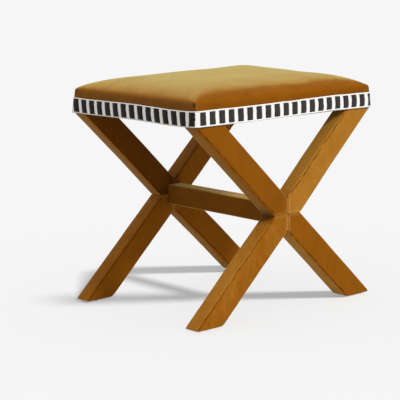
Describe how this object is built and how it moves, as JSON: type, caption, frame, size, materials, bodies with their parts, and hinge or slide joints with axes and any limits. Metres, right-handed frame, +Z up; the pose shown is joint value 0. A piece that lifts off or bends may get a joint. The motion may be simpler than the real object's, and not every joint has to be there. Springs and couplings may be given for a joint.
{
  "type": "x frame stool",
  "caption": "Upholstered stool with a padded velvet seat, a striped tape band and padded crossed legs joined by a stretcher.",
  "frame": {"origin": "on the floor, under the middle of the seat", "axes": "+Z up; +X along the planes of the crossed legs, the seat's long side; +Y along the stretcher, from the front frame to the back frame"},
  "size_m": [0.5224, 0.4024, 0.5],
  "materials": {
    "velvet": "mustard cotton velvet, short pile, soft sheen",
    "wadding": "bonded polyester wadding, off-white",
    "foam": "open-cell upholstery foam, cream",
    "tape": "woven grosgrain tape, white with charcoal stripes",
    "cambric": "black non-woven dust cloth, matt",
    "pine": "planed pine, unfinished",
    "plywood": "birch plywood, unfinished",
    "beech": "fluted beech dowel",
    "nylon": "dark brown moulded nylon",
    "steel": "bright zinc-plated steel"
  },
  "bodies": {
    "root": {"front_frame_rising_leg": "pine", "front_frame_falling_leg": "pine", "front_lower_left_wadding": "wadding", "front_lower_left_cover": "velvet", "front_upper_left_wadding": "wadding", "front_upper_left_cover": "velvet", "glide_front_left": "nylon", "seat_screw_front_left": "steel", "seat_washer_front_left": "steel", "front_lower_right_wadding": "wadding", "front_lower_right_cover": "velvet", "front_upper_right_wadding": "wadding", "front_upper_right_cover": "velvet", "glide_front_right": "nylon", "seat_screw_front_right": "steel", "seat_washer_front_right": "steel", "stretcher_bolt_front": "steel", "stretcher_washer_front": "steel", "barrel_nut_front": "steel", "dowel_front_upper": "beech", "dowel_front_lower": "beech", "back_frame_rising_leg": "pine", "back_frame_falling_leg": "pine", "back_lower_left_wadding": "wadding", "back_lower_left_cover": "velvet", "back_upper_left_wadding": "wadding", "back_upper_left_cover": "velvet", "glide_back_left": "nylon", "seat_screw_back_left": "steel", "seat_washer_back_left": "steel", "back_lower_right_wadding": "wadding", "back_lower_right_cover": "velvet", "back_upper_right_wadding": "wadding", "back_upper_right_cover": "velvet", "glide_back_right": "nylon", "seat_screw_back_right": "steel", "seat_washer_back_right": "steel", "stretcher_bolt_back": "steel", "stretcher_washer_back": "steel", "barrel_nut_back": "steel", "dowel_back_upper": "beech", "dowel_back_lower": "beech", "stretcher_core": "pine", "stretcher_wadding": "wadding", "stretcher_cover": "velvet", "seat_front_rail": "pine", "seat_back_rail": "pine", "seat_left_rail": "pine", "seat_right_rail": "pine", "seat_deck": "plywood", "deck_screw_1": "steel", "deck_screw_2": "steel", "deck_screw_3": "steel", "deck_screw_4": "steel", "seat_foam": "foam", "seat_wadding": "wadding", "seat_cover": "velvet", "trim_tape": "tape", "dust_cover": "cambric"}
  },
  "joints": []
}
